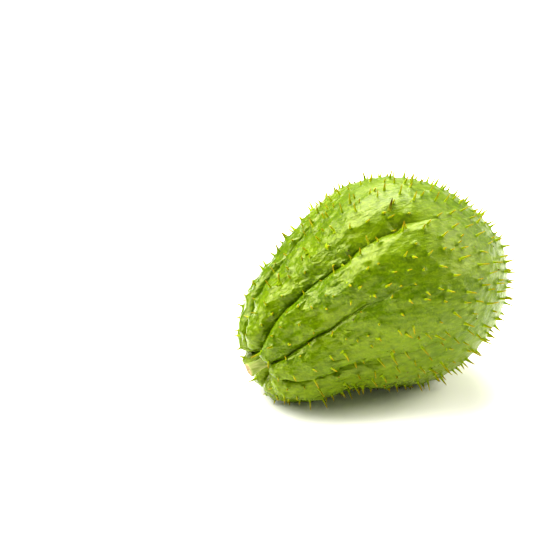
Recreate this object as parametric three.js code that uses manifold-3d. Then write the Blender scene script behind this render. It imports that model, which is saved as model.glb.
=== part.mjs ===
// A chayote squash lying on its side: one furrowed, pear-shaped fruit with its spines, and a cut stub of stem.
// Millimetres, +Z up. The fruit's long axis runs along X, stem end at -X, and it rests on the plane z = 0.
import * as THREE from 'three';
import { mergeVertices } from 'three/addons/utils/BufferGeometryUtils.js';
import Module from 'manifold-3d';

const wasm = await Module();
wasm.setup();

// Body: [along, radius] from the bottom of the stem pit, over its rim and the belly, to the blossom end.
const PROFILE = [
  [7.6, 0], [6.8, 3.4], [3, 6.4], [0.4, 10.8], [3.6, 18.2], [14.3, 26.8], [31, 32.6],
  [47.7, 40], [64.4, 44.6], [81.1, 43.3], [97.8, 34.6], [110.3, 21.8], [117.3, 10.2], [118.8, 0],
];
const FRUIT_LENGTH = 120;
const SECTION_HEIGHT = 0.96;
const AXIS_BEND = 7;
const AXIS_TILT = 17.4;
const AXIS_HEIGHT = 15.5;
const CENTRE = { x: 55.6, y: 0.35 };
const PIT_SHIFT = { up: 3, side: -4.5, fade: 0.26 };

// Furrows: angle from the top, its turn at the stem end and towards the far end, and its wander, in degrees;
// depth in mm; reach is the share of the way along the skin where the furrow has died out. A furrow leans when
// its valley is wide on one side, towards smaller angles, and steep on the other.
const FURROWS = [
  { angle: -14, tip: -10, far: 0, wander: 2, phase: 0.4, depth: 2, reach: 0.62, lean: -0.2 },
  { angle: 29.8, tip: -3, far: 9.5, wander: 2.6, phase: 0.87, depth: 2.8, reach: 0.82, lean: 0.5 },
  { angle: 64, tip: 7, far: 2, wander: 1, phase: 4.2, depth: 1.7, reach: 0.64, lean: 0.2 },
  { angle: 103.5, tip: -28, far: -6, wander: 1.2, phase: 1.2, depth: 2.2, reach: 0.68, lean: -0.3 },
  { angle: 150, tip: -46, far: 0, wander: 1.5, phase: 5, depth: 2.4, reach: 0.62, lean: -0.3 },
  { angle: 188, tip: 6, far: 0, wander: 1.5, phase: 3.1, depth: 2, reach: 0.5, lean: 0 },
  { angle: 229, tip: 18, far: -5, wander: 2, phase: 0.9, depth: 3, reach: 0.76, lean: 0.6 },
  { angle: 268, tip: 8, far: 3, wander: 1.5, phase: 2.6, depth: 2.2, reach: 0.6, lean: -0.2 },
  { angle: 308, tip: -5, far: 4, wander: 2, phase: 5.6, depth: 2.8, reach: 0.74, lean: -0.6 },
];
const TIP_TURN_END = 0.28;
const FAR_TURN = { start: 0.45, span: 0.22 };
const WANDER_RATE = 16;
const FADE_START = 0.22;
const PIT_FADE = 9;
const SLIT = { width: 0.6, girth: 16, depth: 0.5 };
const VALLEY = { width: 4.5, girth: 26, depth: 0.3 };
const NARROWEST = 0.2;
const CREASE_ROUNDING = 0.2;

// Between two furrows a lobe is rounded like a finger, by these shares of their depth at the stem end and
// further along. It falls away gently to a furrow leaning under it and steeply to one leaning from it.
const ROUNDING = { tip: 1.85, body: 1.1, end: 0.45 };
const STEEPENING = 0.5;

// Swells and dents: where they are, their size along and across the skin, and how far they stand out.
const SWELLS = [
  { at: 0.56, angle: 161, along: 13, across: 8, height: 1.9 },
  { at: 0.56, angle: 201, along: 13, across: 8, height: 1.9 },
  { at: 0.552, angle: 33, along: 7.5, across: 3, height: -2.1 },
  { at: 0.546, angle: 29, along: 1.7, across: 4.5, height: -0.9 },
  { at: 0.38, angle: 46, along: 22, across: 6.5, height: 1.9 },
  { at: 0.43, angle: 17, along: 17, across: 7, height: 1.8 },
  { at: 0.72, angle: 75, along: 16, across: 14, height: 0.9 },
  { at: 0.42, angle: 80, along: 9, across: 5, height: 0.8 },
  { at: 0.06, angle: 92, along: 8, across: 9, height: -2 },
];
const WAVES = [
  { turns: 3, rate: 9, phase: 1, height: 0.5 },
  { turns: 5, rate: -14, phase: 2.2, height: 0.35 },
];
const WAVE_FADE = 25;
const BLOSSOM_CLEFT = { start: 0.86, span: 0.1, depth: 5, width: 2.4, length: 11, wander: 1.2 };
const CLEFT_PERIOD = 5;
const CLEFT_ROUNDING = 0.45;
const BLOSSOM_DISH = { depth: 2.2, radius: 9.5, stretch: 1.6 };

const RINGS = 42;
const LOBE_STEPS = 8;
const STEP_GATHER = 0.72;
const NORMAL_STEP = 0.004;

// Spines, scattered by a golden-angle spiral with a seeded shake. Each third place is left bare.
const SPINE_PLACES = 740;
const SPINE_BARE_EVERY = 3;
const SPINE_SEED = 20117;
const RANDOM_FACTOR = 16807;
const RANDOM_MODULUS = 2147483647;
const AREA_STEPS = 400;
const SPINE_SHAKE = { along: 0.02, round: 0.16 };
const SPINE_LENGTH = { min: 2.2, max: 5.4 };
const SPINE_LEAN = 0.5;
const SPINE_SWEEP = 0.24;
const SPINE_RADIUS = 0.65;
const SPINE_ROOT = 1.4;
const SPINE_SIDES = 3;
const SPINE_ZONE = { start: 0.075, end: 0.985 };
const SPINE_FURROW_LIMIT = 0.45;
const SPINE_CLEARANCE = 0.35;
const SPINE_SHORTEST = 1.1;

// Stem: [radius, distance out of the pit] of the stub's turned outline.
const STEM_OUTLINE = [
  [0, 0], [2.1, 0], [2.35, 0.6], [2.2, 2.4], [2.35, 4.8], [2.8, 6.8], [3.1, 7.7], [2.75, 8.3], [1.4, 8], [0, 7.7],
];
const STEM_SEAT = 5.3;
const STEM_SIDES = 18;

const TAU = 2 * Math.PI;
const GOLDEN_ANGLE = Math.PI * (3 - Math.sqrt(5));
const radians = THREE.MathUtils.degToRad;

const outline = new THREE.SplineCurve(PROFILE.map(([along, radius]) => new THREE.Vector2(along, radius)));
outline.arcLengthDivisions = 2000;
const skinLength = outline.getLength();

const axisAlong = new THREE.Vector3(Math.cos(radians(AXIS_TILT)), 0, Math.sin(radians(AXIS_TILT)));
const axisUp = new THREE.Vector3(-Math.sin(radians(AXIS_TILT)), 0, Math.cos(radians(AXIS_TILT)));
const axisSide = new THREE.Vector3(0, 1, 0);

function smooth(value) {
  const x = THREE.MathUtils.clamp(value, 0, 1);
  return x * x * (3 - 2 * x);
}

function wrapAngle(angle) {
  return angle - TAU * Math.round(angle / TAU);
}

function furrowAngle(furrow, share) {
  const tip = furrow.tip * (1 - Math.min(share / TIP_TURN_END, 1)) ** 2;
  const far = furrow.far * smooth((share - FAR_TURN.start) / FAR_TURN.span);
  const wander = furrow.wander * Math.sin(WANDER_RATE * share + furrow.phase);
  return radians(furrow.angle + tip + far + wander);
}

function furrowFade(furrow, share, radius) {
  const fade = 1 - smooth((share - FADE_START) / (furrow.reach - FADE_START));
  return fade * smooth(radius / PIT_FADE);
}

// The furrow's narrow slit and the wider, leaning valley it lies in, each from 0 to 1 at a distance across it.
function furrowShape(furrow, across, radius) {
  const distance = Math.hypot(across, CREASE_ROUNDING) - CREASE_ROUNDING;
  const slitWidth = SLIT.width * THREE.MathUtils.clamp(radius / SLIT.girth, NARROWEST, 1);
  const valleyWidth = VALLEY.width * THREE.MathUtils.clamp(radius / VALLEY.girth, NARROWEST, 1);
  const leaning = valleyWidth * (across < 0 ? 1 + furrow.lean : 1 - furrow.lean);
  return { slit: Math.exp(-distance / slitWidth), valley: Math.exp(-distance / leaning) };
}

// Power by which a lobe falls away to the furrow beside it: under a half it is steep, over it gentle.
function bulge(lean) {
  return 0.5 * (1 + (lean > 0 ? lean : STEEPENING * lean));
}

// How far the lobe between two neighbouring furrows has fallen away at a place between them.
function lobeFall(before, after, share) {
  const whole = before.turn + after.turn;
  const power = before.bulge + after.bulge;
  const height = (before.turn / whole) ** before.bulge * (after.turn / whole) ** after.bulge;
  const highest = (before.bulge / power) ** before.bulge * (after.bulge / power) ** after.bulge;
  const depth = (after.turn * before.depth + before.turn * after.depth) / whole;
  const rounding = THREE.MathUtils.lerp(ROUNDING.tip, ROUNDING.body, smooth(share / ROUNDING.end));
  return rounding * depth * (1 - height / highest);
}

// Depth of the furrows and of the lobes' rounding under the smooth body, and how far a place is down a slit.
function furrowsAt(share, angle, radius) {
  let depth = 0;
  let slit = 0;
  let before = { turn: TAU };
  let after = { turn: TAU };
  for (const furrow of FURROWS) {
    const fade = furrowFade(furrow, share, radius);
    const full = fade * furrow.depth;
    const turn = wrapAngle(angle - furrowAngle(furrow, share));
    if (turn >= 0 && turn < before.turn) before = { turn, depth: full, bulge: bulge(-furrow.lean) };
    if (turn < 0 && -turn < after.turn) after = { turn: -turn, depth: full, bulge: bulge(furrow.lean) };
    const shape = furrowShape(furrow, turn * radius, radius);
    depth += full * (SLIT.depth * shape.slit + VALLEY.depth * shape.valley);
    slit = Math.max(slit, fade * shape.slit);
  }
  return { depth: depth + lobeFall(before, after, share), slit };
}

function reliefAt(share, angle, radius) {
  let height = -furrowsAt(share, angle, radius).depth;
  for (const swell of SWELLS) {
    const along = ((share - swell.at) * skinLength) / swell.along;
    const across = (wrapAngle(angle - radians(swell.angle)) * radius) / swell.across;
    height += swell.height * Math.exp(-along * along - across * across);
  }
  for (const wave of WAVES) {
    const swing = Math.sin(wave.turns * angle + wave.rate * share + wave.phase);
    height += wave.height * smooth(radius / WAVE_FADE) * swing;
  }
  return height;
}

// How far the puckered cleft and its dish draw the blossom end in, at a place across and up its face.
function blossomDepth(share, across, up) {
  const cleft = BLOSSOM_CLEFT;
  const near = smooth((share - cleft.start) / cleft.span);
  const off = up - cleft.wander * Math.sin(across / CLEFT_PERIOD);
  const crease = Math.exp(-(Math.hypot(off, CLEFT_ROUNDING) - CLEFT_ROUNDING) / cleft.width);
  const slot = cleft.depth * crease * Math.exp(-((across / cleft.length) ** 2));
  const round = (across ** 2 / BLOSSOM_DISH.stretch + up ** 2) / BLOSSOM_DISH.radius ** 2;
  return near * (slot + BLOSSOM_DISH.depth * Math.exp(-round));
}

// The skin at a share of the way from the stem pit to the blossom end, and an angle round from the top.
function skinPoint(share, angle) {
  const place = outline.getPointAt(THREE.MathUtils.clamp(share, 0, 1));
  const tangent = outline.getTangentAt(THREE.MathUtils.clamp(share, 0, 1));
  const height = reliefAt(share, angle, place.y);
  const radius = Math.max(place.y + height * tangent.x, 0);
  const across = -radius * Math.sin(angle);
  const up = radius * Math.cos(angle) * SECTION_HEIGHT;
  const along = place.x - height * tangent.y - blossomDepth(share, across, up);
  const nearPit = 1 - smooth(share / PIT_SHIFT.fade);
  const half = place.x / FRUIT_LENGTH;
  const lift = AXIS_BEND * 4 * half * (1 - half) + PIT_SHIFT.up * nearPit;
  const point = new THREE.Vector3(-CENTRE.x, -CENTRE.y, AXIS_HEIGHT)
    .addScaledVector(axisAlong, along)
    .addScaledVector(axisUp, up + lift)
    .addScaledVector(axisSide, across + PIT_SHIFT.side * nearPit);
  point.z = Math.max(point.z, 0);
  return point;
}

function skinNormal(share, angle) {
  const [before, after] = [share - NORMAL_STEP, share + NORMAL_STEP];
  const alongSkin = skinPoint(after, angle).sub(skinPoint(before, angle));
  const roundSkin = skinPoint(share, angle + NORMAL_STEP).sub(skinPoint(share, angle - NORMAL_STEP));
  return roundSkin.cross(alongSkin).normalize();
}

// Angle of a column of the body's net: columns keep to the furrows and gather beside them.
function columnAngle(column, share) {
  const lobe = Math.floor(column / LOBE_STEPS);
  const even = (column % LOBE_STEPS) / LOBE_STEPS;
  const between = even - (STEP_GATHER * Math.sin(TAU * even)) / TAU;
  const next = (lobe + 1) % FURROWS.length;
  const start = furrowAngle(FURROWS[lobe], share);
  const end = furrowAngle(FURROWS[next], share) + (next === 0 ? TAU : 0);
  return start + (end - start) * between;
}

function buildBody() {
  const columns = FURROWS.length * LOBE_STEPS;
  const net = new THREE.SphereGeometry(1, columns, RINGS);
  const place = net.attributes.position;
  for (let ring = 0; ring <= RINGS; ring += 1) {
    for (let column = 0; column <= columns; column += 1) {
      const share = ring / RINGS;
      const atPole = ring === 0 || ring === RINGS;
      const angle = atPole ? 0 : columnAngle(column % columns, share);
      const point = skinPoint(share, angle);
      place.setXYZ((ring + 1) * (columns + 1) - 1 - column, point.x, point.y, point.z);
    }
  }
  return net;
}

// Share of the way along the skin by which a given share of the smooth body's area has been passed.
function areaTable() {
  const table = [0];
  for (let step = 1; step <= AREA_STEPS; step += 1) {
    table.push(table[step - 1] + outline.getPointAt((step - 0.5) / AREA_STEPS).y);
  }
  return table.map((area) => area / table[AREA_STEPS]);
}

function shareAtArea(table, area) {
  const step = Math.max(table.findIndex((passed) => passed >= area), 1);
  const part = (area - table[step - 1]) / (table[step] - table[step - 1]);
  return (step - 1 + part) / (table.length - 1);
}

function seededRandom(seed) {
  let state = seed;
  return () => {
    state = (state * RANDOM_FACTOR) % RANDOM_MODULUS;
    return state / RANDOM_MODULUS;
  };
}

// Every spine that grows: its root on the skin, its direction and its length above the skin.
function placeSpines() {
  const random = seededRandom(SPINE_SEED);
  const table = areaTable();
  const spines = [];
  for (let index = 0; index < SPINE_PLACES; index += 1) {
    const share = shareAtArea(table, (index + 0.5) / SPINE_PLACES) + SPINE_SHAKE.along * (random() - 0.5);
    const angle = index * GOLDEN_ANGLE + SPINE_SHAKE.round * (random() - 0.5);
    const wanted = THREE.MathUtils.lerp(SPINE_LENGTH.min, SPINE_LENGTH.max, random());
    const lean = new THREE.Vector3(random() - 0.5, random() - 0.5, random() - 0.5).multiplyScalar(SPINE_LEAN);
    if (index % SPINE_BARE_EVERY === 1 || share < SPINE_ZONE.start || share > SPINE_ZONE.end) continue;
    const radius = outline.getPointAt(share).y;
    if (furrowsAt(share, wrapAngle(angle), radius).slit > SPINE_FURROW_LIMIT) continue;
    const root = skinPoint(share, angle);
    const sweep = new THREE.Vector3(SPINE_SWEEP, 0, 0);
    const direction = skinNormal(share, angle).add(lean).add(sweep).normalize();
    const room = direction.z < 0 ? (root.z - SPINE_CLEARANCE) / -direction.z : wanted;
    const length = Math.min(wanted, room);
    if (length < SPINE_SHORTEST) continue;
    spines.push({ root, direction, length });
  }
  return spines;
}

function buildSpine({ root, direction, length }) {
  const height = length + SPINE_ROOT;
  const spine = new THREE.ConeGeometry(SPINE_RADIUS, height, SPINE_SIDES);
  spine.translate(0, height / 2 - SPINE_ROOT, 0);
  spine.applyQuaternion(new THREE.Quaternion().setFromUnitVectors(new THREE.Vector3(0, 1, 0), direction));
  return spine.translate(root.x, root.y, root.z);
}

function toSolid(geometry) {
  const bare = geometry.index ? geometry.clone() : geometry;
  bare.deleteAttribute('normal');
  bare.deleteAttribute('uv');
  const merged = mergeVertices(bare, 1e-4);
  const corners = [];
  for (let first = 0; first < merged.index.count; first += 3) {
    const [a, b, c] = [0, 1, 2].map((corner) => merged.index.getX(first + corner));
    if (a !== b && b !== c && c !== a) corners.push(a, b, c);
  }
  const vertProperties = new Float32Array(merged.attributes.position.array);
  return new wasm.Manifold(new wasm.Mesh({ numProp: 3, vertProperties, triVerts: new Uint32Array(corners) }));
}

function toGeometry(solid) {
  const mesh = solid.getMesh();
  const geometry = new THREE.BufferGeometry();
  geometry.setAttribute('position', new THREE.BufferAttribute(new Float32Array(mesh.vertProperties), 3));
  geometry.setIndex(new THREE.BufferAttribute(new Uint32Array(mesh.triVerts), 1));
  geometry.computeVertexNormals();
  return geometry;
}

function makeFruit() {
  let solid = toSolid(buildBody());
  for (const spine of placeSpines()) solid = solid.add(toSolid(buildSpine(spine)));
  const skin = new THREE.MeshStandardMaterial({ color: 0x7fae1c, roughness: 0.42, metalness: 0 });
  const fruit = new THREE.Mesh(toGeometry(solid), skin);
  fruit.name = 'fruit';
  return fruit;
}

function makeStem() {
  const points = STEM_OUTLINE.map(([radius, out]) => new THREE.Vector2(radius, out));
  const bark = new THREE.MeshStandardMaterial({ color: 0xa3b565, roughness: 0.7, metalness: 0 });
  const stem = new THREE.Mesh(new THREE.LatheGeometry(points, STEM_SIDES), bark);
  stem.name = 'stem';
  stem.quaternion.setFromUnitVectors(new THREE.Vector3(0, 1, 0), axisAlong.clone().negate());
  stem.position.set(-CENTRE.x, PIT_SHIFT.side - CENTRE.y, AXIS_HEIGHT);
  stem.position.addScaledVector(axisAlong, STEM_SEAT);
  stem.position.addScaledVector(axisUp, PIT_SHIFT.up);
  return stem;
}

const squash = new THREE.Group();
squash.add(makeFruit(), makeStem());

export default squash;
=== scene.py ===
"""Dresses the chayote squash: its furrowed skin, its spines and its cut stem, on a pale stage."""

import math

import bmesh
import bpy
import numpy as np
from bpy.props import FloatProperty, FloatVectorProperty, IntProperty, PointerProperty
from mathutils import Matrix, Vector, noise
from mathutils.kdtree import KDTree


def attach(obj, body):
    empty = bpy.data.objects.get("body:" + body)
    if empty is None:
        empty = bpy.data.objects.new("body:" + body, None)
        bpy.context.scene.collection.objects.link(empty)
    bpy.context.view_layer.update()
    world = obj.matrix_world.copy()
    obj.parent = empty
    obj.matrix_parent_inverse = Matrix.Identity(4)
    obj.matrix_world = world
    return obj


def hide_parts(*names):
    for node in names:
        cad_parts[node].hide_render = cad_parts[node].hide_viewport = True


bl_info = {
    "name": "Chayote Squash",
    "version": (1, 0, 0),
    "blender": (4, 5, 0),
    "location": "View3D > Sidebar > Chayote",
    "description": "Models a spiny chayote squash lying on its side",
    "category": "Add Mesh",
}

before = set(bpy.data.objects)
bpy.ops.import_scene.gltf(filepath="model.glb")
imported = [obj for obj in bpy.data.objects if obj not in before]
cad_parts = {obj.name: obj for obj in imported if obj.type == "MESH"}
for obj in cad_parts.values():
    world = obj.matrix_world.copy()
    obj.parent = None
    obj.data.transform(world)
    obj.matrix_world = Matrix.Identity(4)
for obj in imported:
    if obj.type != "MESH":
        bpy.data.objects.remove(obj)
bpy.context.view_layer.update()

MM = 0.001
TAU = 2 * math.pi
GOLDEN_ANGLE = math.pi * (3 - math.sqrt(5))

# The body, in millimetres: [along, radius] from the stem pit's bottom to the blossom end.
PROFILE = [
    (7.6, 0), (6.8, 3.4), (3, 6.4), (0.4, 10.8), (3.6, 18.2), (14.3, 26.8), (31, 32.6),
    (47.7, 40), (64.4, 44.6), (81.1, 43.3), (97.8, 34.6), (110.3, 21.8), (117.3, 10.2), (118.8, 0),
]
FRUIT_LENGTH = 120
# Height of a section for its width, rise of the axis's arch, its slope, and its height at the stem end.
SECTION_HEIGHT = 0.96
AXIS_BEND = 7
AXIS_TILT = math.radians(17.4)
AXIS_HEIGHT = 15.5
# Where the fruit's middle is, along the floor and across it, measured from the stem end.
CENTRE = (55.6, 0.35)
# How far the stem pit sits off the axis, which fades out by a share of the skin.
PIT_SHIFT = {"up": 3, "side": -4.5, "fade": 0.26}

# Furrows: angle, turn at the stem end, turn towards the far end, wander, phase, depth, reach, lean.
# A furrow that leans has a valley that is wide towards smaller angles and steep towards larger ones,
# and a negative lean turns that round.
FURROWS = [
    (-14, -10, 0, 2, 0.4, 2, 0.62, -0.2),
    (29.8, -3, 9.5, 2.6, 0.87, 2.8, 0.82, 0.5),
    (64, 7, 2, 1, 4.2, 1.7, 0.64, 0.2),
    (103.5, -28, -6, 1.2, 1.2, 2.2, 0.68, -0.3),
    (150, -46, 0, 1.5, 5, 2.4, 0.62, -0.3),
    (188, 6, 0, 1.5, 3.1, 2, 0.5, 0),
    (229, 18, -5, 2, 0.9, 3, 0.76, 0.6),
    (268, 8, 3, 1.5, 2.6, 2.2, 0.6, -0.2),
    (308, -5, 4, 2, 5.6, 2.8, 0.74, -0.6),
]
# Shares of the skin: where the turn at the stem end has died out, and where the far turn comes in.
TIP_TURN_END = 0.28
FAR_TURN = {"start": 0.45, "span": 0.22}
WANDER_RATE = 16
# Small ripples in a furrow's line: rate along the skin, and degrees to either side.
RIPPLES = [(47, 0.6), (91, 0.5)]
RIPPLE_PHASE = 3
# The share of the skin where furrows start to fade towards their reach, and the radius under which they
# fade towards the bottom of the pit.
FADE_START = 0.22
PIT_FADE = 9

# A furrow is a narrow slit in a wide valley. Both narrow where the body is thinner than a full radius.
SLIT_WIDTH = 0.5
SLIT_SHARE = 0.2
SLIT_FULL_RADIUS = 16
VALLEY_WIDTH = 4.5
VALLEY_SHARE = 0.3
VALLEY_FULL_RADIUS = 26
NARROWEST_SHARE = 0.2
CREASE_ROUNDING = 0.2

# How far the lobes round off, as a share of the depth of the furrows beside them, and how much a lean
# steepens a lobe.
ROUNDING = {"tip": 1.85, "body": 1.1, "end": 0.45}
STEEPENING = 0.5

# Swells and dents: share along the skin, angle, size along, size across, height.
SWELLS = [
    (0.56, 161, 13, 8, 1.9),
    (0.56, 201, 13, 8, 1.9),
    (0.552, 33, 7.5, 3, -2.1),
    (0.546, 29, 1.7, 4.5, -0.9),
    (0.38, 46, 22, 6.5, 1.9),
    (0.43, 17, 17, 7, 1.8),
    (0.72, 75, 16, 14, 0.9),
    (0.42, 80, 9, 5, 0.8),
    (0.06, 92, 8, 9, -2),
]
# Waves round the body: turns round it, rate along the skin, phase, height. They fade under a radius.
WAVES = [(3, 9, 1, 0.5), (5, -14, 2.2, 0.35)]
WAVE_FADE = 25

# The blossom end draws in past this share of the skin, to a cleft in a dish.
BLOSSOM_START = 0.86
BLOSSOM_SPAN = 0.1
BLOSSOM_CLEFT = {"depth": 5, "width": 2.4, "length": 11, "rounding": 0.45, "wander": 1.2, "period": 5}
BLOSSOM_DISH = {"depth": 2.2, "radius": 9.5, "stretch": 1.6}

# Steps over which slopes are taken: shares of the skin, and both shares and radians for the normal.
TANGENT_STEP = 1e-3
NORMAL_STEP = 0.004

# The skin's net: rings along it, columns in each lobe, and how far these gather beside the furrows.
SKIN_RINGS = 250
SKIN_LOBE_STEPS = 44
STEP_GATHER = 0.6

# Spines: places on the spiral, and the random draws of each: two for its shake, one for its length and
# three for its lean. The shake is in shares of the skin and in radians, the sweep is towards the blossom.
SPINE_PLACES = 740
SPINE_DRAWS = 6
SPINE_SEED = 20117
SPINE_SHAKE = (0.02, 0.16)
SPINE_LEAN = 0.5
SPINE_SWEEP = 0.24
# Where spines grow: between two shares of the skin, out of the slits and clear of the floor.
SPINE_ZONE = (0.075, 0.985)
SPINE_SLIT_LIMIT = 0.45
SPINE_CLEARANCE = 0.35
SPINE_SHORTEST = 1.1
AREA_STEPS = 400

# A seeded random sequence: each state is the last one times a factor, less whole moduli.
RANDOM_FACTOR = 16807
RANDOM_MODULUS = 2147483647


# ---------------------------------------------------------------- form of the body

def smooth(value):
    """Ease from 0 to 1 as the value goes from 0 to 1."""
    x = np.clip(value, 0, 1)
    return x * x * (3 - 2 * x)


def wrap_angle(angle):
    """The same angle within half a turn either way."""
    return angle - TAU * np.round(angle / TAU)


def spline(position):
    """Catmull-Rom point of the profile at a parameter from 0 to 1."""
    points = np.array(PROFILE, float)
    last = len(points) - 1
    scaled = np.clip(np.asarray(position, float), 0, 1) * last
    step = np.minimum(scaled.astype(int), last - 1)
    t = (scaled - step)[..., None]
    before, start = points[np.maximum(step - 1, 0)], points[step]
    end, after = points[step + 1], points[np.minimum(step + 2, last)]
    leave, arrive = (end - before) / 2, (after - start) / 2
    cubic = 2 * start - 2 * end + leave + arrive
    square = -3 * start + 3 * end - 2 * leave - arrive
    return ((cubic * t + square) * t + leave) * t + start


# The skin's line, finely stepped, with the length along it so far, and the fruit's own three directions.
SPLINE_STEPS = np.linspace(0, 1, 2001)
SKIN_LINE = spline(SPLINE_STEPS)
SKIN_ARC = np.concatenate([[0], np.cumsum(np.hypot(*np.diff(SKIN_LINE, axis=0).T))])
SKIN_LENGTH = SKIN_ARC[-1]
AXIS_ALONG = np.array([math.cos(AXIS_TILT), 0, math.sin(AXIS_TILT)])
AXIS_UP = np.array([-math.sin(AXIS_TILT), 0, math.cos(AXIS_TILT)])
AXIS_SIDE = np.array([0, 1.0, 0])


def profile_at(share):
    """Along, radius and the tangent's two parts at a share of the way along the skin."""
    share = np.clip(share, 0, 1)
    place = spline(np.interp(share * SKIN_LENGTH, SKIN_ARC, SPLINE_STEPS))
    ahead = spline(np.interp(np.minimum(share + TANGENT_STEP, 1) * SKIN_LENGTH, SKIN_ARC, SPLINE_STEPS))
    behind = spline(np.interp(np.maximum(share - TANGENT_STEP, 0) * SKIN_LENGTH, SKIN_ARC, SPLINE_STEPS))
    tangent = ahead - behind
    tangent /= np.linalg.norm(tangent, axis=-1, keepdims=True)
    return place[..., 0], place[..., 1], tangent[..., 0], tangent[..., 1]


def furrow_angle(furrow, share):
    """Angle of a furrow's line, in radians round from the top, at a share of the way along the skin."""
    angle, tip, far, wander, phase = furrow[:5]
    tip_turn = tip * (1 - np.minimum(share / TIP_TURN_END, 1)) ** 2
    far_turn = far * smooth((share - FAR_TURN["start"]) / FAR_TURN["span"])
    turn = wander * np.sin(WANDER_RATE * share + phase)
    for rate, size in RIPPLES:
        turn = turn + size * np.sin(rate * share + RIPPLE_PHASE * phase)
    return np.radians(angle + tip_turn + far_turn + turn)


def bulge(lean):
    """Power by which a lobe falls away to a furrow: under a half it is steep, over it gentle."""
    return 0.5 * (1 + lean if lean > 0 else 1 + STEEPENING * lean)


def furrows_at(share, angle, radius):
    """Depth of the furrows under the smooth body, and how far a place is down a slit and down a valley.

    Each place keeps the nearest furrow on either side of it, for the lobe that stands between the two.
    """
    slit_width = SLIT_WIDTH * np.clip(radius / SLIT_FULL_RADIUS, NARROWEST_SHARE, 1)
    valley_width = VALLEY_WIDTH * np.clip(radius / VALLEY_FULL_RADIUS, NARROWEST_SHARE, 1)
    depth, slit, valley = (np.zeros(share.shape) for _ in range(3))
    since, until = np.full(share.shape, TAU), np.full(share.shape, TAU)
    deep_since, deep_until = np.zeros(share.shape), np.zeros(share.shape)
    bulge_since, bulge_until = np.ones(share.shape), np.ones(share.shape)
    for furrow in FURROWS:
        full, reach, lean = furrow[5:]
        fade = (1 - smooth((share - FADE_START) / (reach - FADE_START))) * smooth(radius / PIT_FADE)
        turn = wrap_angle(angle - furrow_angle(furrow, share))
        after, before = (turn >= 0) & (turn < since), (turn < 0) & (-turn < until)
        since, deep_since = np.where(after, turn, since), np.where(after, fade * full, deep_since)
        until, deep_until = np.where(before, -turn, until), np.where(before, fade * full, deep_until)
        bulge_since = np.where(after, bulge(-lean), bulge_since)
        bulge_until = np.where(before, bulge(lean), bulge_until)
        across = turn * radius
        distance = np.hypot(across, CREASE_ROUNDING) - CREASE_ROUNDING
        leaning = valley_width * np.where(across < 0, 1 + lean, 1 - lean)
        in_slit, in_valley = np.exp(-distance / slit_width), np.exp(-distance / leaning)
        depth += full * fade * (SLIT_SHARE * in_slit + VALLEY_SHARE * in_valley)
        slit = np.maximum(slit, fade * in_slit)
        valley = np.maximum(valley, fade * in_valley)
    whole, power = since + until, bulge_since + bulge_until
    height = (since / whole) ** bulge_since * (until / whole) ** bulge_until
    highest = (bulge_since / power) ** bulge_since * (bulge_until / power) ** bulge_until
    deep = (until * deep_since + since * deep_until) / whole
    rounding = ROUNDING["tip"] + (ROUNDING["body"] - ROUNDING["tip"]) * smooth(share / ROUNDING["end"])
    return depth + rounding * deep * (1 - height / highest), slit, valley


def relief_at(share, angle, radius):
    """Height of the body's own relief over its smooth profile: furrows, swells and waves."""
    height = -furrows_at(share, angle, radius)[0]
    for at, turn, along_size, across_size, rise in SWELLS:
        along = (share - at) * SKIN_LENGTH / along_size
        across = wrap_angle(angle - math.radians(turn)) * radius / across_size
        height = height + rise * np.exp(-along**2 - across**2)
    for turns, rate, phase, rise in WAVES:
        height = height + rise * smooth(radius / WAVE_FADE) * np.sin(turns * angle + rate * share + phase)
    return height


def blossom_depth(share, across, up):
    """How far the blossom end draws in: a wandering cleft in a shallow dish."""
    cleft = BLOSSOM_CLEFT
    near = smooth((share - BLOSSOM_START) / BLOSSOM_SPAN)
    off = up - cleft["wander"] * np.sin(across / cleft["period"])
    crease = np.exp(-(np.hypot(off, cleft["rounding"]) - cleft["rounding"]) / cleft["width"])
    slot = cleft["depth"] * crease * np.exp(-((across / cleft["length"]) ** 2))
    spread = (across**2 / BLOSSOM_DISH["stretch"] + up**2) / BLOSSOM_DISH["radius"] ** 2
    return near * (slot + BLOSSOM_DISH["depth"] * np.exp(-spread))


def skin_point(share, angle, raised=0.0):
    """Places on the skin, in millimetres, at shares of the way along it and angles from the top."""
    share, angle = np.asarray(share, float), np.asarray(angle, float)
    along, base_radius, tangent_along, tangent_out = profile_at(share)
    height = relief_at(share, angle, base_radius) + raised
    radius = np.maximum(base_radius + height * tangent_along, 0)
    across = -radius * np.sin(angle)
    up = radius * np.cos(angle) * SECTION_HEIGHT
    length = along - height * tangent_out - blossom_depth(share, across, up)
    near_pit = 1 - smooth(share / PIT_SHIFT["fade"])
    way = along / FRUIT_LENGTH
    lift = AXIS_BEND * 4 * way * (1 - way) + PIT_SHIFT["up"] * near_pit
    point = (
        np.array([-CENTRE[0], -CENTRE[1], AXIS_HEIGHT])
        + length[..., None] * AXIS_ALONG
        + (up + lift)[..., None] * AXIS_UP
        + (across + PIT_SHIFT["side"] * near_pit)[..., None] * AXIS_SIDE
    )
    point[..., 2] = np.maximum(point[..., 2], 0)
    return point


def skin_normal(share, angle):
    """Directions straight out of the skin."""
    along = skin_point(share + NORMAL_STEP, angle) - skin_point(share - NORMAL_STEP, angle)
    round_skin = skin_point(share, angle + NORMAL_STEP) - skin_point(share, angle - NORMAL_STEP)
    normal = np.cross(round_skin, along)
    return normal / np.linalg.norm(normal, axis=-1, keepdims=True)


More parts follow.
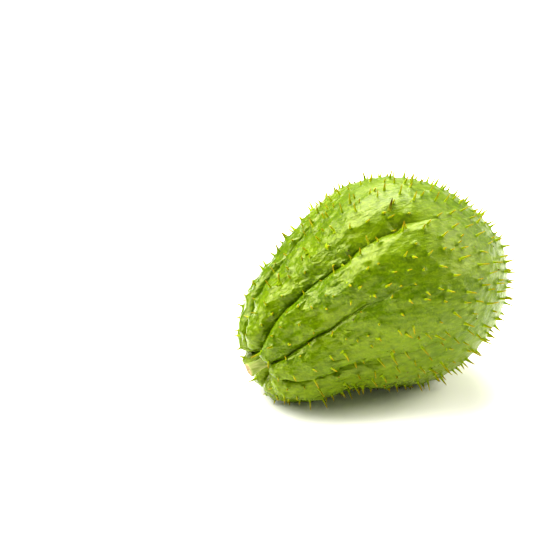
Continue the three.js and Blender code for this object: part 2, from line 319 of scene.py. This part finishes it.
def column_angle(column, share):
    """Angle of a column of the skin's net, which keeps to the furrows and gathers beside them."""
    lobe = (column // SKIN_LOBE_STEPS).astype(int)
    even = (column % SKIN_LOBE_STEPS) / SKIN_LOBE_STEPS
    between = even - STEP_GATHER * np.sin(TAU * even) / TAU
    angles = np.array([furrow_angle(furrow, share) for furrow in FURROWS])
    angles = np.concatenate([angles, angles[:1] + TAU])
    rows = np.arange(len(share))
    start, end = angles[lobe, rows], angles[lobe + 1, rows]
    return start + (end - start) * between


# ---------------------------------------------------------------- spine places

def seeded_random(seed):
    """Random shares from 0 to 1, the same ones each run."""
    state = seed
    while True:
        state = state * RANDOM_FACTOR % RANDOM_MODULUS
        yield state / RANDOM_MODULUS


def place_spines(settings):
    """Roots, directions and lengths of all spines, by a golden-angle spiral with a seeded shake."""
    draw = seeded_random(SPINE_SEED)
    draws = np.array([[next(draw) for _ in range(SPINE_DRAWS)] for _ in range(SPINE_PLACES)])
    middles = (np.arange(AREA_STEPS) + 0.5) / AREA_STEPS
    passed = np.concatenate([[0], np.cumsum(profile_at(middles)[1])])
    index = np.arange(SPINE_PLACES)
    area = (index + 0.5) / SPINE_PLACES * passed[-1]
    share = np.interp(area, passed, np.linspace(0, 1, AREA_STEPS + 1))
    share += SPINE_SHAKE[0] * (draws[:, 0] - 0.5)
    angle = index * GOLDEN_ANGLE + SPINE_SHAKE[1] * (draws[:, 1] - 0.5)
    shortest, longest = settings.shortest / MM, settings.longest / MM
    wanted = shortest + (longest - shortest) * draws[:, 2]
    root = skin_point(share, angle)
    direction = skin_normal(share, angle) + SPINE_LEAN * (draws[:, 3:] - 0.5) + (SPINE_SWEEP, 0, 0)
    direction /= np.linalg.norm(direction, axis=1, keepdims=True)
    down = np.maximum(-direction[:, 2], 1e-6)
    length = np.minimum(wanted, (root[:, 2] - SPINE_CLEARANCE) / down)
    slit = furrows_at(share, angle, profile_at(share)[1])[1]
    grows = (share >= SPINE_ZONE[0]) & (share <= SPINE_ZONE[1])
    grows &= (slit <= SPINE_SLIT_LIMIT) & (length >= SPINE_SHORTEST)
    return root[grows], direction[grows], length[grows]


# ---------------------------------------------------------------- settings

class SkinSettings(bpy.types.PropertyGroup):
    """Relief and colours of the skin."""

    knob_height: FloatProperty(
        name="Knob height", description="Height of the knobs on the lobes",
        default=1.1 * MM, unit="LENGTH")
    wrinkle_height: FloatProperty(
        name="Wrinkle height", description="Height of the long wrinkles",
        default=0.45 * MM, unit="LENGTH")
    mound_height: FloatProperty(
        name="Mound height", description="Rise of the skin round each spine",
        default=0.85 * MM, unit="LENGTH")
    bright_colour: FloatVectorProperty(
        name="Bright colour", description="Yellower patches of the skin", subtype="COLOR", size=4,
        default=(0.138, 0.207, 0.0002, 1))
    deep_colour: FloatVectorProperty(
        name="Deep colour", description="Greener patches of the skin", subtype="COLOR", size=4,
        default=(0.075, 0.138, 0.0001, 1))
    # Painted shade: a darker green laid in the valleys, where shade falls.
    valley_shade_colour: FloatVectorProperty(
        name="Valley colour", description="Skin down in the valleys", subtype="COLOR", size=4,
        default=(0.055, 0.11, 0.0003, 1))
    # Paler skin low down: partly the fruit's own paler underside, partly painted bounce light from the
    # floor.
    underside_and_bounce_colour: FloatVectorProperty(
        name="Underside colour", description="Paler skin low on the fruit", subtype="COLOR", size=4,
        default=(0.2, 0.27, 0.002, 1))
    # Pale flecks and streaks: partly the skin's own mottling, partly painted glints on its wrinkles.
    fleck_and_glint_colour: FloatVectorProperty(
        name="Fleck colour", description="Pale flecks and streaks", subtype="COLOR", size=4,
        default=(0.2, 0.29, 0.002, 1))
    mound_colour: FloatVectorProperty(
        name="Mound colour", description="Top of the mound round each spine", subtype="COLOR", size=4,
        default=(0.2, 0.28, 0.003, 1))


class SpineSettings(bpy.types.PropertyGroup):
    """Sizes and colours of the spines."""

    shortest: FloatProperty(
        name="Shortest", description="Length of the shortest spines clear of the floor",
        default=2.2 * MM, unit="LENGTH")
    longest: FloatProperty(
        name="Longest", description="Length of the longest spines on the spiral",
        default=5.4 * MM, unit="LENGTH")
    radius: FloatProperty(
        name="Radius", description="Radius of a spine above its mound",
        default=0.62 * MM, unit="LENGTH")
    sides: IntProperty(name="Sides", description="Sides of each spine", default=7, min=3)
    base_colour: FloatVectorProperty(
        name="Base colour", description="Spine near the skin", subtype="COLOR", size=4,
        default=(0.23, 0.33, 0.002, 1))
    tip_colour: FloatVectorProperty(
        name="Tip colour", description="Dry tip of a spine", subtype="COLOR", size=4,
        default=(0.33, 0.22, 0.008, 1))
    dry_colour: FloatVectorProperty(
        name="Dry colour", description="Withered or broken spine", subtype="COLOR", size=4,
        default=(0.075, 0.04, 0.012, 1))


class StemSettings(bpy.types.PropertyGroup):
    """Sizes and colours of the cut stem."""

    ribs: IntProperty(name="Ribs", description="Ribs round the stem", default=5, min=3)
    side_colour: FloatVectorProperty(
        name="Side colour", description="Skin of the stem", subtype="COLOR", size=4,
        default=(0.30, 0.38, 0.08, 1))
    cut_colour: FloatVectorProperty(
        name="Cut colour", description="Dry cut end", subtype="COLOR", size=4,
        default=(0.42, 0.34, 0.15, 1))


class StageSettings(bpy.types.PropertyGroup):
    """Floor, light and camera."""

    floor_colour: FloatVectorProperty(
        name="Floor colour", description="Colour of the floor", subtype="COLOR", size=4,
        default=(0.95, 0.95, 0.945, 1))
    sky_strength: FloatProperty(
        name="Sky strength", description="Light from the sky at its brightest", default=0.48)
    key_power: FloatProperty(
        name="Key power", description="Soft light overhead, behind the fruit", default=47.0, unit="POWER")
    strip_power: FloatProperty(
        name="Strip power", description="Small light on the left that shines on the ribs", default=4.2,
        unit="POWER")
    rim_power: FloatProperty(
        name="Rim power", description="Soft light at the right", default=15.5, unit="POWER")
    fill_power: FloatProperty(
        name="Fill power", description="Low light in front", default=2.5, unit="POWER")


# ---------------------------------------------------------------- materials

# Colours mixed into the settings' own.
# Darker streaks: partly the skin's own mottling, partly painted shade between the glinting wrinkles.
DARK_STREAK_AND_SHADE = (0.06, 0.12, 0.0002, 1)
# Painted shade round the foot of each spine's mound.
MOUND_FOOT_SHADE = (0.05, 0.11, 0.0003, 1)
# Painted shade in the furrows' slits.
PAINTED_SLIT_SHADE = (0.05, 0.1, 0.0005, 1)
PALE_SPINE = (0.42, 0.45, 0.01, 1)
STEM_FIBRE = (0.52, 0.55, 0.22, 1)
CUT_GRAIN = (0.2, 0.14, 0.05, 1)
FLOOR_HAZE = (0.9, 0.9, 0.9, 1)

# The turn that lays a pattern along the fruit's own axis.
LYING = (0, AXIS_TILT, 0)
# Heights between which the fruit pales towards its underside: partly its own paler underside, partly
# painted light bounced up from the floor.
UNDERSIDE_AND_BOUNCE = (34 * MM, 12 * MM)


class NodeBook:
    """Adds nodes to a material's tree and links them."""

    def __init__(self, name):
        self.material = bpy.data.materials.new(name)
        self.material.use_nodes = True
        self.tree = self.material.node_tree
        self.shader = self.tree.nodes["Principled BSDF"]

    def set(self, socket, value):
        """Links a socket to another one, or gives it a value."""
        if isinstance(value, bpy.types.NodeSocket):
            self.tree.links.new(value, socket)
        else:
            socket.default_value = value

    def feed(self, node, inputs):
        """Sets a node's inputs, each by its name with _ for a space."""
        for key, value in inputs.items():
            self.set(node.inputs[key.replace("_", " ")], value)

    def add(self, kind, settings=None, **inputs):
        node = self.tree.nodes.new(kind)
        for key, value in (settings or {}).items():
            setattr(node, key, value)
        self.feed(node, inputs)
        return node

    def finish(self, **inputs):
        """Sets the shader's inputs and gives the finished material."""
        self.feed(self.shader, inputs)
        return self.material

    def attribute(self, name):
        return self.add("ShaderNodeAttribute", {"attribute_name": name}).outputs["Fac"]

    def maths(self, operation, *values):
        node = self.add("ShaderNodeMath", {"operation": operation})
        for socket, value in zip(node.inputs, values):
            self.set(socket, value)
        return node.outputs[0]

    def spread(self, value, low, high, to_low=0.0, to_high=1.0):
        """Eases from one number to another as the value goes from low to high."""
        node = self.add("ShaderNodeMapRange", {"interpolation_type": "SMOOTHSTEP"}, Value=value,
                        From_Min=low, From_Max=high, To_Min=to_low, To_Max=to_high)
        return node.outputs[0]

    def mix(self, factor, first, second):
        """Mixes two colours. The node has inputs of one name for each kind of data, hence the numbers."""
        node = self.add("ShaderNodeMix", {"data_type": "RGBA"})
        for number, value in ((0, factor), (6, first), (7, second)):
            self.set(node.inputs[number], value)
        return node.outputs[2]

    def noise(self, vector, scale, detail=2.0, roughness=0.5, distortion=0.0):
        node = self.add("ShaderNodeTexNoise", Vector=vector, Scale=scale, Detail=detail,
                        Roughness=roughness, Distortion=distortion)
        return node.outputs["Fac"]

    def place(self, turn=(0, 0, 0), scale=(1, 1, 1)):
        """Object coordinates, turned and scaled by a Mapping node."""
        coordinates = self.add("ShaderNodeTexCoord").outputs["Object"]
        return self.add("ShaderNodeMapping", Vector=coordinates, Rotation=turn, Scale=scale).outputs[0]

    def bump(self, height, distance, strength, below=None):
        node = self.add("ShaderNodeBump", Height=height, Distance=distance, Strength=strength)
        if below is not None:
            self.set(node.inputs["Normal"], below)
        return node.outputs[0]


def skin_colour(book, settings, even, along, fibres):
    """Yellower and greener patches, with painted shade in the valleys, slits and at the mounds' feet, a
    paler underside that is partly painted bounce light, flecks and streaks that are partly painted glints
    and shade, and pale mound tops over them.
    """
    patches = book.noise(along, 45, 3, 0.55)
    flecks = book.noise(even, 900, 2, 0.6)
    streaks = book.noise(fibres, 800, 3, 0.6, 0.5)
    height = book.add("ShaderNodeSeparateXYZ", Vector=even).outputs["Z"]
    mound = book.attribute("mound")
    colour = tuple(settings.deep_colour)
    # Each layer: what it follows, the values between which it comes in, its strength, its colour.
    layers = (
        (patches, 0.36, 0.66, 1, settings.bright_colour),
        # Painted shade down in the valleys.
        (book.attribute("valley"), 0.3, 1, 0.35, settings.valley_shade_colour),
        # Paler towards the underside: partly the skin's own, partly painted bounce light.
        (height, *UNDERSIDE_AND_BOUNCE, 0.55, settings.underside_and_bounce_colour),
        # Flecks and streaks: partly the skin's own mottling, partly painted glints and painted shade
        # along the wrinkles.
        (flecks, 0.5, 0.66, 0.45, settings.fleck_and_glint_colour),
        (streaks, 0.48, 0.62, 0.3, settings.fleck_and_glint_colour),
        (streaks, 0.5, 0.38, 0.3, DARK_STREAK_AND_SHADE),
        # Painted shade at the mounds' feet.
        (mound, 0.12, 0.4, 0.28, MOUND_FOOT_SHADE),
        (mound, 0.4, 0.9, 0.6, settings.mound_colour),
        # Painted shade in the slits.
        (book.attribute("furrow"), 0.5, 1, 0.35, PAINTED_SLIT_SHADE),
    )
    for guide, start, end, strength, tint in layers:
        colour = book.mix(book.spread(guide, start, end, 0, strength), colour, tuple(tint))
    return colour


def skin_relief(book, busy, even, along, fibres):
    """Relief finer than the mesh: ridges and folds where the skin is busy, then its grain and pores."""
    uneven = book.spread(book.noise(even, 45, 2), 0.42, 0.6, 0.1, 1)
    rugged = book.maths("MULTIPLY", busy, uneven)
    ridged = book.maths("MULTIPLY", rugged, 0.8)
    folded = book.maths("MULTIPLY_ADD", rugged, 0.6, 0.3)
    matt = book.maths("MULTIPLY_ADD", busy, -0.6, 0.9)
    # Each layer: its pattern, its height in millimetres and its strength.
    layers = (
        (book.noise(fibres, 300, 2, 0.5, 0.6), 1.35, ridged),
        (book.noise(along, 480, 3, 0.6, 0.4), 0.65, folded),
        (book.noise(along, 1100, 3, 0.6), 0.3, matt),
        (book.noise(even, 2200, 2, 0.5), 0.14, matt),
    )
    normal = None
    for pattern, height, strength in layers:
        normal = book.bump(pattern, height * MM, strength, normal)
    return normal


def skin_material(settings):
    """Waxy green skin, glossy in its busy stem half and duller past its middle."""
    book = NodeBook("chayote_skin")
    even = book.place()
    along = book.place(turn=LYING, scale=(0.35, 1, 1))
    fibres = book.place(turn=LYING, scale=(0.25, 1, 1))
    busy = book.attribute("busy")
    wax = book.spread(book.noise(even, 260, 3, 0.6), 0.3, 0.7, 0.13, 0.24)
    dullness = book.maths("MULTIPLY_ADD", busy, -0.2, 0.2)
    return book.finish(
        Base_Color=skin_colour(book, settings, even, along, fibres),
        Roughness=book.maths("ADD", wax, dullness),
        Normal=skin_relief(book, busy, even, along, fibres),
        Subsurface_Weight=0.06,
        Subsurface_Radius=(0.6, 1, 0.15),
        Subsurface_Scale=2.5 * MM,
        Specular_IOR_Level=0.5,
        Specular_Tint=(1, 0.98, 0.56, 1),
    )


def spine_material(settings):
    """Yellow-green spines with dry tips, each of its own tint, and brown where withered."""
    book = NodeBook("chayote_spine")
    tip, tint, dry = (book.attribute(name) for name in ("tip", "tint", "dry"))
    dried = book.spread(tip, 0.15, 0.95)
    colour = book.mix(dried, tuple(settings.base_colour), tuple(settings.tip_colour))
    colour = book.mix(book.maths("MULTIPLY", tint, 0.2), colour, PALE_SPINE)
    return book.finish(
        Base_Color=book.mix(dry, colour, tuple(settings.dry_colour)),
        Roughness=0.45,
        Subsurface_Weight=0.15,
        Subsurface_Radius=(0.8, 1, 0.2),
        Subsurface_Scale=1 * MM,
        Specular_IOR_Level=0.12,
    )


def stem_material(settings):
    """Fibrous pale green side, and a dry, grainy cut end."""
    book = NodeBook("chayote_stem")
    fibres = book.noise(book.place(turn=LYING, scale=(0.12, 1, 1)), 900, 3, 0.6)
    grain = book.noise(book.place(), 1400, 3, 0.6)
    side = book.mix(book.spread(fibres, 0.35, 0.7), tuple(settings.side_colour), STEM_FIBRE)
    end = book.mix(book.spread(grain, 0.35, 0.7), tuple(settings.cut_colour), CUT_GRAIN)
    return book.finish(
        Base_Color=book.mix(book.attribute("cut"), side, end),
        Roughness=0.7,
        Normal=book.bump(fibres, 0.3 * MM, 0.8),
    )


def floor_material(settings):
    """Matt near-white paper with a faint haze, and a faint glow of its own: painted light that lightens
    its shadows.
    """
    book = NodeBook("floor")
    haze = book.spread(book.noise(book.place(), 6, 2), 0.3, 0.7, 0, 0.03)
    return book.finish(
        Base_Color=book.mix(haze, tuple(settings.floor_colour), FLOOR_HAZE),
        Roughness=0.9,
        Specular_IOR_Level=0.1,
        # Painted light: a faint glow that lightens the floor's shadows.
        Emission_Color=(1, 0.97, 0.93, 1),
        Emission_Strength=0.008,
    )


# ---------------------------------------------------------------- mesh helpers

def finish_piece(bm, name, material, slot=None):
    """Makes a smooth shaded object from the bmesh. One with a slot is part of the fruit."""
    mesh = bpy.data.meshes.new(name)
    bm.to_mesh(mesh)
    bm.free()
    mesh.materials.append(material)
    mesh.shade_smooth()
    piece = bpy.data.objects.new(name, mesh)
    bpy.context.scene.collection.objects.link(piece)
    if slot:
        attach(piece, "root")
    return piece


def float_layer(bm, name):
    return bm.verts.layers.float.get(name) or bm.verts.layers.float.new(name)


def noise_at(points, rates, offset):
    """Smooth noise, from -1 to 1, at points given in the fruit's own turned millimetres."""
    return np.array([noise.noise(Vector(point)) for point in points * np.array(rates) + offset])


def ridges_at(points, rates, offset):
    """The same noise folded into sharp ridges, which rise to 1."""
    return 1 - 2 * np.abs(noise_at(points, rates, offset))


# ---------------------------------------------------------------- pieces

class CHAYOTE_OT_skin(bpy.types.Operator):
    """Model the furrowed body with its knobs, wrinkles and the mounds under its spines"""

    bl_idname = "chayote.skin"
    bl_label = "Skin"

    # The stem half is busy with relief, which fades to a least share by this share of the skin.
    busy_end = 0.6
    busy_fade = 0.3
    busy_least = 0.25
    # Patterns of the relief: rates along, across and up for each millimetre, and an offset.
    lump_pattern = ((0.09, 0.17, 0.17), 3.1)
    knob_pattern = ((0.2, 0.34, 0.34), 8.2)
    wrinkle_pattern = ((0.13, 0.36, 0.36), 14.6)
    crease_pattern = ((0.36, 0.6, 0.6), 21.9)
    # What a slit takes off the knobs and the wrinkles, and the body's radius where relief is whole.
    slit_calms_knobs = 0.6
    slit_calms_wrinkles = 0.5
    whole_radius = 12
    # A spine's mound, and the wider swelling round it where it stands in a valley of the busy half.
    mound_radius = 1.05
    mound_fall = 1.5
    swelling = 0.8
    swelling_radius = 3

    def relief(self, settings, flat, slit, busy, radius):
        """Rise of the knobs and wrinkles, in millimetres, at places on the plain skin."""
        own = np.stack([flat @ AXIS_ALONG, flat @ AXIS_SIDE, flat @ AXIS_UP], -1)
        knobs = noise_at(own, *self.lump_pattern) + noise_at(own, *self.knob_pattern) / 2
        wrinkles = ridges_at(own, *self.wrinkle_pattern) + busy * ridges_at(own, *self.crease_pattern)
        rise = settings.knob_height / MM * knobs * busy * (1 - self.slit_calms_knobs * slit)
        rise += settings.wrinkle_height / MM * wrinkles / 2 * (1 - self.slit_calms_wrinkles * slit)
        return rise * smooth(radius / self.whole_radius)

    def execute(self, context):
        settings = context.scene.chayote_skin
        columns = SKIN_LOBE_STEPS * len(FURROWS)
        bm = bmesh.new()
        bmesh.ops.create_uvsphere(bm, u_segments=columns, v_segments=SKIN_RINGS, radius=1)
        unit = np.array([vert.co for vert in bm.verts])
        share = np.round(np.arccos(np.clip(unit[:, 2], -1, 1)) / math.pi * SKIN_RINGS) / SKIN_RINGS
        column = np.round(np.arctan2(unit[:, 1], unit[:, 0]) / TAU * columns) % columns
        angle = column_angle(column, share)
        radius = profile_at(share)[1]
        _, slit, valley = furrows_at(share, angle, radius)
        busy = smooth((self.busy_end - share) / self.busy_fade) * (1 - self.busy_least) + self.busy_least
        flat = skin_point(share, angle)

        roots = place_spines(context.scene.chayote_spines)[0]
        tree = KDTree(len(roots))
        for index, root in enumerate(roots):
            tree.insert(root, index)
        tree.balance()
        near = np.array([tree.find(point)[2] for point in flat])
        mound = np.exp(-((near / self.mound_radius) ** self.mound_fall))
        swelling = self.swelling * busy * valley * np.exp(-((near / self.swelling_radius) ** 2))
        rise = self.relief(settings, flat, slit, busy, radius)
        rise += settings.mound_height / MM * (mound + swelling)
        points = skin_point(share, angle, rise) * MM

        # Fields for the skin's material: furrow darkens the slits with painted shade, valley darkens the
        # valleys with painted shade, mound paints shade at the mounds' feet and pales their tops, and
        # busy sets gloss and relief.
        fields = {"furrow": slit, "valley": valley, "mound": mound, "busy": busy}
        layers = [(float_layer(bm, name), values) for name, values in fields.items()]
        for index, vert in enumerate(bm.verts):
            vert.co = points[index]
            for layer, values in layers:
                vert[layer] = values[index]
        bmesh.ops.recalc_face_normals(bm, faces=bm.faces)
        piece = finish_piece(bm, "fruit_skin", skin_material(settings), "skin")
        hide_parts("fruit")
        return {"FINISHED"}


class CHAYOTE_OT_spines(bpy.types.Operator):
    """Grow the spines from the skin, each curved and tapered to its own tip"""

    bl_idname = "chayote.spines"
    bl_label = "Spines"

    # Height as a share of the length, and radius as a share of the spine's own.
    rings = ((-0.12, 2.6), (0.0, 1.75), (0.07, 1.15), (0.22, 0.9), (0.5, 0.62), (0.78, 0.36), (0.94, 0.2))

    # Share of spines that are broken, and how much of its length one keeps.
    broken_share = 0.035
    broken_length = 0.35
    # A long withered spine: share along the skin, angle, length, and how far it leans from straight out.
    withered = (0.563, 22.2, 5.8)
    withered_lean = (0.35, 0.2, 0.5)
    # The range of a tip's bend for its length, and a spine's least width and what chance adds to it.
    curl = 0.35
    least_width = 0.75
    more_width = 0.35
    # How dry a dry spine is at its foot. Towards its tip it is wholly dry.
    foot_dryness = 0.35
    floor_gap = 0.1 * MM

    def all_spines(self, settings):
        """Root, direction and length of each spine, the withered one last."""
        yield from zip(*place_spines(settings))
        share, angle, length = self.withered
        place = np.array([share]), np.radians([angle])
        yield skin_point(*place)[0], skin_normal(*place)[0] + self.withered_lean, length

    def raise_ring(self, bm, edges):
        """Extrudes a ring of edges and gives the new ring's vertices and edges."""
        grown = bmesh.ops.extrude_edge_only(bm, edges=edges)["geom"]
        verts = [item for item in grown if isinstance(item, bmesh.types.BMVert)]
        return verts, [item for item in grown if isinstance(item, bmesh.types.BMEdge)]

    def template(self, sides):
        """One upright spine of unit length and radius, built by extruding a ring upward."""
        bm = bmesh.new()
        low, wide = self.rings[0]
        made = bmesh.ops.create_circle(bm, cap_ends=True, segments=sides, radius=wide)
        bmesh.ops.translate(bm, verts=made["verts"], vec=(0, 0, low))
        bmesh.ops.reverse_faces(bm, faces=bm.faces)
        edges = list(bm.edges)
        for (height, radius), (last_height, last_radius) in zip(self.rings[1:], self.rings):
            verts, edges = self.raise_ring(bm, edges)
            bmesh.ops.translate(bm, verts=verts, vec=(0, 0, height - last_height))
            ratio = radius / last_radius
            bmesh.ops.scale(bm, verts=verts, vec=(ratio, ratio, 1))
        verts, _ = self.raise_ring(bm, edges)
        bmesh.ops.pointmerge(bm, verts=verts, merge_co=(0, 0, 1))
        bmesh.ops.recalc_face_normals(bm, faces=bm.faces)
        mesh = bpy.data.meshes.new("spine_template")
        bm.to_mesh(mesh)
        bm.free()
        return mesh

    def execute(self, context):
        settings = context.scene.chayote_spines
        pattern = self.template(settings.sides)
        draw = seeded_random(SPINE_SEED + 1)
        bm = bmesh.new()
        tip, tint, dry = (float_layer(bm, name) for name in ("tip", "tint", "dry"))
        for root, direction, long in self.all_spines(settings):
            first = len(bm.verts)
            bm.from_mesh(pattern)
            bm.verts.ensure_lookup_table()
            stand = Vector(direction).to_track_quat("Z", "Y").to_matrix()
            curve = (next(draw) - 0.5) * self.curl
            sway = (next(draw) - 0.5) * self.curl
            shade = next(draw)
            width = settings.radius * (self.least_width + self.more_width * next(draw))
            broken = next(draw) < self.broken_share
            length = long * MM * (self.broken_length if broken else 1)
            dryness = 1 if broken or long > settings.longest / MM else 0
            for vert in bm.verts[first:]:
                height = vert.co.z
                bend = max(height, 0) ** 2 * length
                across = vert.co.x * width + curve * bend
                beside = vert.co.y * width + sway * bend
                vert.co = Vector(root) * MM + stand @ Vector((across, beside, height * length))
                vert.co.z = max(vert.co.z, self.floor_gap)
                vert[tip] = max(height, 0)
                vert[tint] = shade
                vert[dry] = dryness * min(max(height + self.foot_dryness, 0), 1)
        bpy.data.meshes.remove(pattern)
        piece = finish_piece(bm, "fruit_spines", spine_material(settings), "skin")
        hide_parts("fruit")
        return {"FINISHED"}


class CHAYOTE_OT_stem(bpy.types.Operator):
    """Turn the cut stub of stem, ribbed along its side and rough on its cut end"""

    bl_idname = "chayote.stem"
    bl_label = "Stem"

    # From the middle of its foot to the middle of its cut end, in millimetres: [radius, out].
    outline = ((0, 0), (2.1, 0), (2.35, 0.6), (2.2, 2.4), (2.35, 4.8), (2.8, 6.8), (3.1, 7.7),
               (2.75, 8.3), (1.4, 8), (0, 7.7))
    outline_cuts = 3
    turned_steps = 48
    # How far along the axis the foot is, and the depth and radius of what shows as cut.
    seat = 5.3
    cut_depth = 0.75
    cut_radius = 2.9
    # Depth of the ribs as a share of the radius, and where round the stem they start.
    rib_depth = 0.05
    rib_turn = 0.6

    def execute(self, context):
        settings = context.scene.chayote_stem
        bm = bmesh.new()
        verts = [bm.verts.new((radius * MM, 0, out * MM)) for radius, out in self.outline]
        edges = [bm.edges.new(pair) for pair in zip(verts, verts[1:])]
        bmesh.ops.subdivide_edges(bm, edges=edges, cuts=self.outline_cuts)
        bmesh.ops.spin(bm, geom=list(bm.verts) + list(bm.edges), axis=(0, 0, 1), cent=(0, 0, 0),
                       angle=TAU, steps=self.turned_steps, use_merge=True)
        bmesh.ops.remove_doubles(bm, verts=bm.verts, dist=1e-6)
        cut = float_layer(bm, "cut")
        top = max(vert.co.z for vert in bm.verts)
        for vert in bm.verts:
            turn = math.atan2(vert.co.y, vert.co.x)
            side = math.hypot(vert.co.x, vert.co.y)
            vert[cut] = float(vert.co.z > top - self.cut_depth * MM and side < self.cut_radius * MM)
            rib = 1 - self.rib_depth + self.rib_depth * math.cos(settings.ribs * turn + self.rib_turn)
            vert.co.x *= rib
            vert.co.y *= rib
        lay = Vector((0, 0, 1)).rotation_difference(Vector(-AXIS_ALONG)).to_matrix().to_4x4()
        place = Vector((-CENTRE[0], PIT_SHIFT["side"] - CENTRE[1], AXIS_HEIGHT))
        place += Vector(AXIS_ALONG) * self.seat + Vector(AXIS_UP) * PIT_SHIFT["up"]
        bmesh.ops.transform(bm, matrix=Matrix.Translation(place * MM) @ lay, verts=bm.verts)
        bmesh.ops.recalc_face_normals(bm, faces=bm.faces)
        piece = finish_piece(bm, "stem_stub", stem_material(settings), "stem")
        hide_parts("stem")
        return {"FINISHED"}


class CHAYOTE_OT_stage(bpy.types.Operator):
    """Lay the pale floor and set the soft lights and the camera"""

    bl_idname = "chayote.stage"
    bl_label = "Stage"

    # Half the floor's side, in metres.
    floor_half = 6
    # Where the sky is brightest, how dim it is away from there, and its colour.
    bright_side = (0.25, 0.45, 0.85)
    sky_least = 0.06
    sky_colour = (1, 0.965, 0.83, 1)
    # Lights: name, size and place in metres, colour. All face one point in the fruit.
    lights = (
        ("key", (2.3, 0.9), (-0.17, 0.5, 1.15), (1, 0.98, 0.96)),
        ("strip", (0.9, 0.3), (-1.05, 0.22, 0.58), (1, 1, 1)),
        ("rim", (1.2, 0.9), (1.1, -0.35, 0.75), (1, 0.97, 0.92)),
        ("fill", (1, 0.7), (-0.45, -1.1, 0.12), (1, 0.98, 0.95)),
    )
    light_target = (0, 0, 0.04)
    # The camera: where it looks, in millimetres, its azimuth and elevation, its distance and its lens.
    aim = (-28, 42.65, 39.3)
    view = (-26.1, 22.1)
    distance = 648
    lens = 102.1
    sensor_width = 36
    clip_end = 10

    def lay_floor(self, settings):
        bm = bmesh.new()
        bmesh.ops.create_grid(bm, x_segments=1, y_segments=1, size=self.floor_half)
        finish_piece(bm, "floor", floor_material(settings))

    def light_sky(self, scene, settings):
        """A sky that is brighter on one side, by how far a direction faces that side."""
        scene.world = bpy.data.worlds.new("sky")
        scene.world.use_nodes = True
        tree = scene.world.node_tree
        facing = tree.nodes.new("ShaderNodeVectorMath")
        facing.operation = "DOT_PRODUCT"
        facing.inputs[1].default_value = self.bright_side
        ramp = tree.nodes.new("ShaderNodeMapRange")
        ramp.inputs["To Min"].default_value = self.sky_least
        ramp.inputs["To Max"].default_value = settings.sky_strength
        background = tree.nodes["Background"]
        background.inputs["Color"].default_value = self.sky_colour
        tree.links.new(tree.nodes.new("ShaderNodeTexCoord").outputs["Generated"], facing.inputs[0])
        tree.links.new(facing.outputs["Value"], ramp.inputs["Value"])
        tree.links.new(ramp.outputs["Result"], background.inputs["Strength"])

    def hang_light(self, scene, name, size, place, colour, power):
        light = bpy.data.lights.new(name, "AREA")
        light.shape = "RECTANGLE"
        light.size, light.size_y = size
        light.energy = power
        light.color = colour
        lamp = bpy.data.objects.new(name, light)
        lamp.location = place
        towards = Vector(self.light_target) - Vector(place)
        lamp.rotation_euler = towards.to_track_quat("-Z", "Y").to_euler()
        scene.collection.objects.link(lamp)

    def set_camera(self, scene):
        azimuth, elevation = (math.radians(value) for value in self.view)
        level = math.cos(elevation)
        back = Vector((math.sin(azimuth) * level, -math.cos(azimuth) * level, math.sin(elevation)))
        camera = bpy.data.cameras.new("camera")
        camera.lens = self.lens
        camera.sensor_width = self.sensor_width
        camera.clip_end = self.clip_end
        eye = bpy.data.objects.new("camera", camera)
        eye.location = (Vector(self.aim) + back * self.distance) * MM
        eye.rotation_euler = (-back).to_track_quat("-Z", "Y").to_euler()
        scene.collection.objects.link(eye)
        scene.camera = eye

    def execute(self, context):
        scene = context.scene
        settings = scene.chayote_stage
        self.lay_floor(settings)
        self.light_sky(scene, settings)
        powers = (settings.key_power, settings.strip_power, settings.rim_power, settings.fill_power)
        for light, power in zip(self.lights, powers):
            self.hang_light(scene, *light, power)
        self.set_camera(scene)
        scene.view_settings.view_transform = "Standard"
        scene.view_settings.look = "High Contrast"
        return {"FINISHED"}


class CHAYOTE_PT_panel(bpy.types.Panel):
    """Lists the pieces of the chayote"""

    bl_idname = "CHAYOTE_PT_panel"
    bl_label = "Chayote Squash"
    bl_space_type = "VIEW_3D"
    bl_region_type = "UI"
    bl_category = "Chayote"

    def draw(self, context):
        for operator in OPERATORS:
            self.layout.operator(operator.bl_idname)


SETTINGS = {
    "chayote_skin": SkinSettings,
    "chayote_spines": SpineSettings,
    "chayote_stem": StemSettings,
    "chayote_stage": StageSettings,
}
OPERATORS = (CHAYOTE_OT_skin, CHAYOTE_OT_spines, CHAYOTE_OT_stem, CHAYOTE_OT_stage)
CLASSES = (*SETTINGS.values(), *OPERATORS, CHAYOTE_PT_panel)


def register():
    for item in CLASSES:
        bpy.utils.register_class(item)
    for name, group in SETTINGS.items():
        setattr(bpy.types.Scene, name, PointerProperty(type=group))


def unregister():
    for name in SETTINGS:
        delattr(bpy.types.Scene, name)
    for item in reversed(CLASSES):
        bpy.utils.unregister_class(item)


def main():
    register()
    bpy.ops.chayote.skin()
    bpy.ops.chayote.spines()
    bpy.ops.chayote.stem()
    bpy.ops.chayote.stage()


if __name__ == "__main__":
    main()
